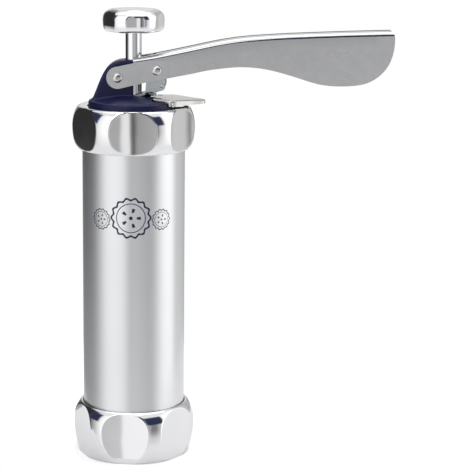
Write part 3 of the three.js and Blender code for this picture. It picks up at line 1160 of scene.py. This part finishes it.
# ---------------------------------------------------------------- cap
@dataclass
class Cap(SubAssembly):
    """The navy cap: a low dome in the top ring with a hollow fin for the lever."""

    fin_half: float = 7.5
    slot_half: float = 6.25
    voxel: float = 0.5
    fin: list[Point] = field(default_factory=lambda: [
        (-25.4, 202.2), (-24.4, 202.9), (-23.5, 204.2), (-22.6, 206.2), (-21.0, 210.2), (-18.6, 216.0),
        (-16.3, 220.3), (-14.0, 222.9), (-11.3, 224.8), (-8.0, 226.0), (-3.9, 226.4), (0.2, 226.4),
    ])

    def build(self) -> None:
        """Join dome and fin, cut the openings and melt the joins into one moulding."""
        rim = Workshop.arc((25.3, 201.6), 1.1, 0, 70, 6)
        dome = [
            (24.9, 191.5), (29.4, 191.5), (29.4, 195.3), (26.4, 195.3), *rim, (24.4, 203.0), (20.0, 203.9),
            (14.0, 204.9), (8.0, 205.5), (0, 205.8), (0, 202.0), (14.5, 202.0), (14.5, 195.0),
            (24.9, 195.0), (24.9, 191.5),
        ]
        cap = Workshop.mesh_object(Workshop.spin(dome, 192), "navy_cap")
        outline = [*Workshop.curve(self.fin, 0.8), (0.2, 202.5), (-25.0, 202.3)]
        fin = Workshop.plate(outline, -self.fin_half, self.fin_half, Side.ACROSS)
        crest = [
            e for e in fin.edges
            if abs(e.verts[0].co.y - e.verts[1].co.y) < 1e-6 and min(v.co.z for v in e.verts) > 0.2035
            and max(v.co.x for v in e.verts) < 0.0003
        ]
        Workshop.round_edges(fin, crest, 1.1, 3)
        Workshop.combine(cap, fin, Cut.JOIN)
        change = cap.modifiers.new("melt", "REMESH")
        change.mode = "VOXEL"
        change.voxel_size = self.voxel * MM
        Workshop.bake(cap)
        self._smooth(cap, 4)
        s = self.slot_half
        for low, high in (
            ((-8.4, -s, 201.0), (12.0, s, 224.3)),
            ((11.2, -17, 203.1), (30, 17, 207)),
            ((11.2, 9.2, 200.3), (30, 17, 207)),
            ((11.2, -17, 200.3), (30, -9.2, 207)),
        ):
            Workshop.take(cap, Workshop.block(low, high))
        rod = Workshop.bar(5.3, (0, 0, 201), (0, 0, 230))
        pivot = Workshop.bar(2.3, (-8.9, -12, 216.4), (-8.9, 12, 216.4), 32)
        tab_pin = Workshop.bar(1.0, (23.4, -16, 201.6), (23.4, 16, 201.6), 24)
        Workshop.take(cap, rod, pivot, tab_pin)
        self.fit(cap, "cap", "cap", "cap", 40)

    @staticmethod
    def _smooth(piece: bpy.types.Object, rounds: int) -> None:
        """Even out a remeshed skin by a few rounds of smoothing.

        Args:
            piece: The object to smooth.
            rounds: How many times the skin is smoothed.
        """
        bm = bmesh.new()
        bm.from_mesh(piece.data)
        for _ in range(rounds):
            bmesh.ops.smooth_vert(
                bm, verts=bm.verts[:], factor=0.5, use_axis_x=True, use_axis_y=True, use_axis_z=True,
            )
        bm.to_mesh(piece.data)
        bm.free()


# ---------------------------------------------------------------- lever, rivets and pawl
@dataclass
class LeverSet(SubAssembly):
    """The folded lever, its two rivets, the drive pawl and the pawl's pin and spring."""

    half: float = 9.25
    sheet: float = 1.2
    bend: float = 2.5
    pivot: Point = (-8.9, 216.4)
    pawl_pivot: Point = (13.8, 220.8)
    lower: list[Point] = field(default_factory=lambda: [
        (-7.79, 210.1), (0.6, 212.2), (9.4, 214.3), (18.2, 216.0), (32.7, 218.9), (44.3, 221.4),
        (55.9, 222.9), (62.8, 223.3), (71.3, 222.9), (79.1, 221.7), (86.8, 219.8), (94.6, 217.5),
        (102.4, 215.1), (108.0, 213.7), (114.6, 212.9), (121.8, 212.8), (129.5, 213.4), (135.5, 214.9),
        (141.0, 218.0), (145.5, 222.4), (148.5, 227.6), (150.2, 233.4), (150.7, 238.0),
    ])
    shoulder: list[Point] = field(default_factory=lambda: [
        (0.2, 225.2), (6.3, 226.1), (12.5, 227.2), (18.8, 228.5), (28.1, 230.5), (37.5, 232.6),
        (48.0, 234.9), (59.6, 236.9), (71.1, 238.1), (86.5, 239.2), (101.9, 240.0), (117.3, 240.7),
        (132.7, 241.3), (150.2, 241.9),
    ])

    def build(self) -> None:
        """Make the lever, then what hangs on it."""
        self._lever()
        for name, node, spot in (
            ("pivot_rivet", "pivot_pin", self.pivot), ("pawl_rivet", "pawl_pin", self.pawl_pivot),
        ):
            self.fit(Workshop.rivet(name, spot, 2.0, 2.85, self.half + 0.3, 1.5), "rivet", "lever", node)
        self._pawl()

    def _web(self, drop: float) -> list[Point]:
        """The web's top line lowered by some millimetres, from the tip back to the rod."""
        line = Workshop.curve(self.shoulder, 3.0)
        return [(x, z + self.bend - drop) for x, z in reversed(line)]

    def _channel(self, half: float, right: float, drop: float, bend: float) -> bmesh.types.BMesh:
        """A solid with the lever's crown and rounded upper edges, open far below.

        Args:
            half: Half its width.
            right: Where it ends at the tip.
            drop: How far its crown lies under the web's top.
            bend: Radius of its upper edges.

        Returns:
            The closed body.
        """
        web = [p for p in self._web(drop) if p[0] < right - 1.0]
        crown = [(right, web[0][1]), *web, (-24.0, web[-1][1] - 4.4)]
        bm = Workshop.plate([(-24.0, 196.0), (right, 196.0), *crown], -half, half, Side.ACROSS)
        ridge = [
            e for e in bm.edges
            if abs(e.verts[0].co.y - e.verts[1].co.y) < 1e-7 and min(v.co.z for v in e.verts) > 0.2155
        ]
        Workshop.round_edges(bm, ridge, bend, 6)
        return bm

    def _lever(self) -> None:
        """Fold the lever: outside, hollow, outline, rod slot and rivet holes."""
        lever = Workshop.mesh_object(self._channel(self.half, 150.8, 0.0, self.bend), "pressed_lever")
        outline = [
            *Workshop.arc(self.pivot, 6.4, 100, 280, 28),
            *Workshop.curve(self.lower, 2.0)[1:], (150.65, 241.0), (150.3, 242.9), (149.2, 244.2),
            (147.5, 246.0), *[(x, z + 1.0) for x, z in self._web(0.0) if x < 146], (0.2, 224.9),
        ]
        Workshop.combine(lever, Workshop.plate(outline, -12, 12, Side.ACROSS), Cut.KEEP)
        inside = self.half - self.sheet
        Workshop.take(
            lever,
            self._channel(inside, 149.6, self.sheet, self.bend - self.sheet),
            Workshop.block((-20, -inside, 205), (0.2, inside, 235)),
            Workshop.block((-20, -5.6, 218), (7.9, 5.6, 235)),
            Workshop.bar(5.6, (7.9, 0, 218), (7.9, 0, 236), 64),
            *(Workshop.bar(2.3, (x, -14, z), (x, 14, z), 40) for x, z in (self.pivot, self.pawl_pivot)),
        )
        Workshop.soften(lever, 0.32, 2, 50)
        self.fit(lever, "lever", "lever", "lever", 32)

    def _pawl(self) -> None:
        """Fold the drive pawl and set its pin and spring."""
        half, tongue, end_pin = 7.65, 5.9, (16.9, 211.9)

        def floor(x: float, up: float = 0.0) -> Point:
            """A point over the pawl's sloping underside at x."""
            return x, 206.4 + (x - 7.2) * 0.268 + up

        nose = Workshop.curve([(17.6, floor(17.0)[1] + 0.3), (18.5, 210.6), (18.9, 213.2), (18.2, 218.0)], 0.8)
        cheek = [floor(7.0), floor(17.0), *nose, *Workshop.arc(self.pawl_pivot, 4.4, -15, 165, 18), (7.6, 214.0)]
        body = Workshop.plate(cheek, -half, half, Side.ACROSS)
        keel = [
            e for e in body.edges
            if abs(e.verts[0].co.y - e.verts[1].co.y) < 1e-7 and max(v.co.z for v in e.verts) < 0.20915
            and abs(e.verts[0].co.x - e.verts[1].co.x) > 0.002
        ]
        Workshop.round_edges(body, keel, 1.6, 5)
        pawl = Workshop.mesh_object(body, "folded_pawl")
        inner = [floor(-10, self.sheet), floor(16.0, self.sheet + 0.2), (30, 216), (30, 240), (-10, 240)]
        Workshop.take(pawl, Workshop.plate(inner, -half + self.sheet, half - self.sheet, Side.ACROSS))
        strip = [floor(-7.5), floor(12.0), floor(12.0, self.sheet), floor(-7.5, self.sheet)]
        Workshop.combine(pawl, Workshop.plate(strip, -tongue, tongue, Side.ACROSS), Cut.JOIN)
        Workshop.take(
            pawl,
            *(Workshop.bar(5.05, (shift, 0, 190), (shift, 0, 230), 64) for shift in (-0.7, 0.7)),
            Workshop.block((-0.7, -5.05, 190), (0.7, 5.05, 230)),
            *(
                Workshop.bar(radius, (x, -14, z), (x, 14, z), 32)
                for radius, x, z in ((2.3, *self.pawl_pivot), (1.2, *end_pin))
            ),
        )
        Workshop.soften(pawl, 0.15, 2, 50)
        self.fit(pawl, "pawl", "pawl", "drive_pawl", 32)
        pin = Workshop.rivet("pawl_cross_pin", end_pin, 0.9, 1.3, half + 0.3, 1.4)
        self.fit(pin, "rivet", "pawl", "pawl_end_pin")
        wound = Workshop.mesh_object(Workshop.coil(1.5, 0.3, 205.4, 206.9, 2, (11.6, 0.0)), "pawl_coil")
        self.fit(wound, "spring", "tab", "pawl_spring", 60)
        wound = Workshop.mesh_object(Workshop.coil(6.4, 0.4, 195.5, 197.3, 1.5, (0.0, 0.0)), "brake_coil")
        self.fit(wound, "spring", "cap", "brake_spring", 60)


# ---------------------------------------------------------------- release tab
@dataclass
class ReleaseTab(SubAssembly):
    """The leaf-shaped tab with turned-down edges and its pin."""

    pin: Point = (23.4, 201.6)
    slope: float = 0.045
    sheet: float = 1.0
    half_leaf: list[Point] = field(default_factory=lambda: [
        (11.6, 10.4), (16.5, 12.6), (20.0, 14.5), (22.5, 15.0), (25.0, 14.1), (30.0, 10.2), (35.0, 6.3),
        (39.0, 3.7), (40.8, 2.4), (41.5, 1.2), (41.7, 0.0),
    ])

    def build(self) -> None:
        """Press the tab, cut its slots and set its pin."""
        top = 204.2 - self.pin[1]
        tab = Workshop.mesh_object(self._leaf(0.0, -1.0, top, 0.8), "release_leaf")
        wedge = Workshop.block((6, -20, -6), (40, 20, -1))
        bmesh.ops.rotate(wedge, verts=wedge.verts[:], cent=(0, 0, 0), matrix=Matrix.Rotation(-0.075, 3, "Y"))
        under = top - self.sheet
        Workshop.take(
            tab, self._leaf(self.sheet, -3.0, under, 0.3), Workshop.block((-20, -9.4, -4), (-9.2, 9.4, under)), wedge,
        )
        for low, high in (
            ((-13.5, -3.2, under), (-9.0, 3.2, top)), ((-13.5, -3.2, -5.4), (-12.5, 3.2, top)),
            ((-15.2, -3.2, -5.4), (-12.5, 3.2, -4.7)), ((-15.2, -3.2, -2.5), (-12.5, 3.2, -1.8)),
        ):
            Workshop.combine(tab, Workshop.block(low, high), Cut.JOIN)
        slots = (Workshop.block((-9.8, low, -1), (-7.0, low + 3.0, 4)) for low in (-9.6, 6.6))
        Workshop.take(tab, *slots, Workshop.bar(1.0, (0, -20, 0), (0, 20, 0), 24))
        Workshop.soften(tab, 0.12, 2, 50)
        turn = Matrix.Translation((self.pin[0] * MM, 0, self.pin[1] * MM)) @ Matrix.Rotation(self.slope, 4, "Y")
        tab.data.transform(turn)
        self.fit(tab, "tab", "tab", "release_tab", 35)
        self.fit(Workshop.rivet("tab_cross_pin", self.pin, 0.7, 1.3, 15.0, 1.4), "rivet", "tab", "tab_pin")

    def _leaf(self, inset: float, low: float, high: float, edge: float) -> bmesh.types.BMesh:
        """The tab's plan outline drawn up, about its own pin.

        Args:
            inset: How far the outline is drawn in.
            low: Its underside.
            high: Its top.
            edge: Radius of its upper edge.

        Returns:
            The closed body.
        """
        line = Workshop.curve(self.half_leaf, 0.9)
        half = [(x - self.pin[0] - (inset if x > 38 else 0), y - inset) for x, y in line if y - inset > 0.05]
        tip = (self.half_leaf[-1][0] - self.pin[0] - inset, 0.0)
        outline = [*[(x, -y) for x, y in half], tip, *reversed(half)]
        bm = Workshop.plate(outline, low, high, Side.UP)
        rim = [
            e for e in bm.edges
            if min(v.co.z for v in e.verts) > (high - 0.01) * MM and max(v.co.x for v in e.verts) > -11.0 * MM
        ]
        Workshop.round_edges(bm, rim, edge, 3)
        return bm


# ---------------------------------------------------------------- studio
@dataclass(frozen=True)
class Studio:
    """Pale floor, banded soft surround, two soft lights and the camera.

    Attributes:
        eye: Where the camera stands, in metres.
        tilt: How far it looks down, in degrees.
        roll: How far it leans, in degrees.
        lens: Its focal length in millimetres.
        bands: Brightness round the studio, by degrees from the front.
        above: Share of the bright ceiling, by height from 0 at the bottom to 1 overhead.
        sides: Where the dark side windows stand.
        middle: Where the dark front window stands.
        behind: Where the dark foot of the back wall stands.
        low: Height of the side windows.
        tall: Height of the front window.
        under: Height of the back wall's foot.
        floor_size: The floor's width and depth in metres.
        floor_at: The floor's middle.
    """

    eye: Spot = (0.0599, -1.071, 0.339)
    tilt: float = 11.41
    roll: float = 0.60
    lens: float = 141.47
    bands: tuple[Stop, ...] = (
        (-180.0, 0.80), (-166.0, 0.60), (-158.0, 0.15), (-139.0, 0.03), (-100.0, 0.03), (-92.0, 0.12),
        (-84.0, 0.30), (-76.0, 0.55), (-66.0, 0.95), (-56.0, 1.12), (-14.5, 1.05), (-12.5, 0.42),
        (-0.2, 0.34), (0.4, 0.08), (2.7, 0.08), (3.4, 0.88), (8.0, 0.85), (9.6, 0.42), (34.0, 0.40),
        (38.0, 0.22), (46.0, 0.22), (52.0, 0.45), (64.0, 0.95), (74.0, 1.35), (102.0, 1.35),
        (107.0, 0.75), (113.0, 0.25), (119.0, 0.60), (132.0, 0.62), (145.0, 0.45), (160.0, 0.50),
        (180.0, 0.80),
    )

    above: tuple[Stop, ...] = (
        (0.0, 1.0), (0.24, 0.95), (0.345, 0.48), (0.41, 0.06), (0.43, 0.0), (0.81, 0.0), (0.86, 1.0), (1.0, 1.0),
    )
    sides: tuple[Stop, ...] = ((-98, 0), (-94, 1), (-72, 1), (-68, 0), (17, 0), (21, 1), (62, 1), (66, 0))
    middle: tuple[Stop, ...] = ((-13, 0), (-11, 1), (12, 1), (14, 0))
    behind: tuple[Stop, ...] = ((-168, 1), (-162, 0), (162, 0), (168, 1))
    low: tuple[Stop, ...] = ((0.0, 0.0), (0.57, 0.0), (0.595, 1.0), (0.80, 1.0), (0.84, 0.0), (1.0, 0.0))
    tall: tuple[Stop, ...] = ((0.0, 0.0), (0.505, 0.0), (0.525, 1.0), (0.88, 1.0), (0.91, 0.0), (1.0, 0.0))
    under: tuple[Stop, ...] = ((0.0, 1.0), (0.505, 1.0), (0.535, 0.0), (1.0, 0.0))
    floor_size: tuple[float, float] = (0.30, 0.286)
    floor_at: Spot = (0.05, 0.1015, -0.0091)

    def build(self) -> None:
        """Set the floor, the surround, the lights and the camera."""
        self._floor()
        self._surround()
        self._light("top_softbox", (0.1, 0.1, 1.7), (0.0, 0.0, 0.15), 1.8, 10.0)
        self._light("front_softbox", (-0.5, -1.9, 1.5), (0.0, 0.0, 0.1), 1.0, 4.0)
        self._camera()

    def _floor(self) -> None:
        """Lay the pale floor, small enough not to fill what the metal mirrors."""
        bm = bmesh.new()
        bmesh.ops.create_grid(bm, x_segments=8, y_segments=8, size=0.5)
        bmesh.ops.scale(bm, vec=(*self.floor_size, 1), verts=bm.verts[:])
        bmesh.ops.translate(bm, vec=self.floor_at, verts=bm.verts[:])
        floor = Workshop.mesh_object(bm, "pale_floor")
        material = bpy.data.materials.new("pale_floor")
        material.use_nodes = True
        nodes = Nodes(material.node_tree)
        shader = material.node_tree.nodes["Principled BSDF"].inputs
        shader["Base Color"].default_value = (0.93, 0.93, 0.93, 1)
        shader["Roughness"].default_value = 0.7
        shader["Emission Color"].default_value = (1, 1, 1, 1)
        seen = nodes.node("ShaderNodeLightPath").outputs["Is Camera Ray"]
        nodes.feed(shader["Emission Strength"], nodes.times(seen, 0.3))
        floor.data.materials.append(material)

    def _surround(self) -> None:
        """White to the eye, banded light and dark in what the metal mirrors."""
        world = bpy.data.worlds.new("studio")
        bpy.context.scene.world = world
        world.use_nodes = True
        world.node_tree.nodes.clear()
        nodes = Nodes(world.node_tree)
        x, y, z = nodes.parts(nodes.place("Generated"))
        turn = nodes.math("ARCTAN2", x, nodes.times(y, -1.0))
        share = nodes.plus(nodes.math("DIVIDE", turn, 2 * math.pi), 0.5)
        height = nodes.plus(nodes.times(z, 0.5), 0.5)
        sides, middle, behind = (self._round(nodes, share, spots) for spots in (self.sides, self.middle, self.behind))
        above, low, tall, under = (nodes.ramp(height, stops) for stops in (self.above, self.low, self.tall, self.under))
        dark = nodes.math("MAXIMUM", nodes.times(sides, low), nodes.times(middle, tall))
        colour = nodes.mix(self._round(nodes, share, self.bands), (0.030, 0.037, 0.080), dark)
        colour = nodes.mix(colour, (0.06, 0.06, 0.06), nodes.times(behind, under))
        colour = nodes.mix(colour, (0.85, 0.85, 0.86), above)
        mirrored, seen = nodes.node("ShaderNodeBackground"), nodes.node("ShaderNodeBackground")
        nodes.feed(mirrored.inputs["Color"], colour)
        nodes.feed(seen.inputs["Color"], (1, 1, 1, 1))
        choose = nodes.node("ShaderNodeMixShader")
        nodes.feed(choose.inputs[0], nodes.node("ShaderNodeLightPath").outputs["Is Camera Ray"])
        nodes.feed(choose.inputs[1], mirrored.outputs[0])
        nodes.feed(choose.inputs[2], seen.outputs[0])
        nodes.feed(nodes.node("ShaderNodeOutputWorld").inputs[0], choose.outputs[0])

    @staticmethod
    def _round(nodes: Nodes, share: Socket, spots: tuple[Stop, ...]) -> Socket:
        """A grey round the studio, from spots given in degrees from the front."""
        ends = [(-180.0, spots[0][1]), *(spot for spot in spots if abs(spot[0]) < 180), (180.0, spots[-1][1])]
        return nodes.ramp(share, [((degrees + 180) / 360, level) for degrees, level in ends])

    @staticmethod
    def _light(name: str, at: Spot, aim: Spot, size: float, power: float) -> None:
        """Hang one square soft light.

        Args:
            name: Its name.
            at: Where it hangs.
            aim: What it faces.
            size: Its side in metres.
            power: Its power in watts.
        """
        lamp = bpy.data.lights.new(name, "AREA")
        lamp.shape = "SQUARE"
        lamp.size = size
        lamp.energy = power
        hung = bpy.data.objects.new(name, lamp)
        hung.location = at
        hung.rotation_euler = (Vector(aim) - Vector(at)).to_track_quat("-Z", "Y").to_euler()
        bpy.context.scene.collection.objects.link(hung)

    def _camera(self) -> None:
        """Stand the camera in front, a little above and to the lever's side."""
        data = bpy.data.cameras.new("camera")
        data.lens = self.lens
        data.sensor_width = 36.0
        data.clip_start = 0.05
        eye = bpy.data.objects.new("camera", data)
        tilt = Matrix.Rotation(math.radians(90 - self.tilt), 4, "X")
        eye.matrix_world = Matrix.Translation(self.eye) @ tilt @ Matrix.Rotation(math.radians(self.roll), 4, "Z")
        bpy.context.scene.collection.objects.link(eye)
        bpy.context.scene.camera = eye
        bpy.context.scene.view_settings.view_transform = "Standard"
        bpy.context.scene.view_settings.look = "None"


def main() -> None:
    """Build the press and the studio."""
    logging.basicConfig(level=logging.INFO, format="%(name)s: %(message)s")
    palette = Palette()
    for assembly in (BarrelSet, GripRings, RodAndKnob, Cap, LeverSet, ReleaseTab):
        assembly(palette).build()
        LOG.info("%s done", assembly.__name__)
    Studio().build()


if __name__ == "__main__":
    main()
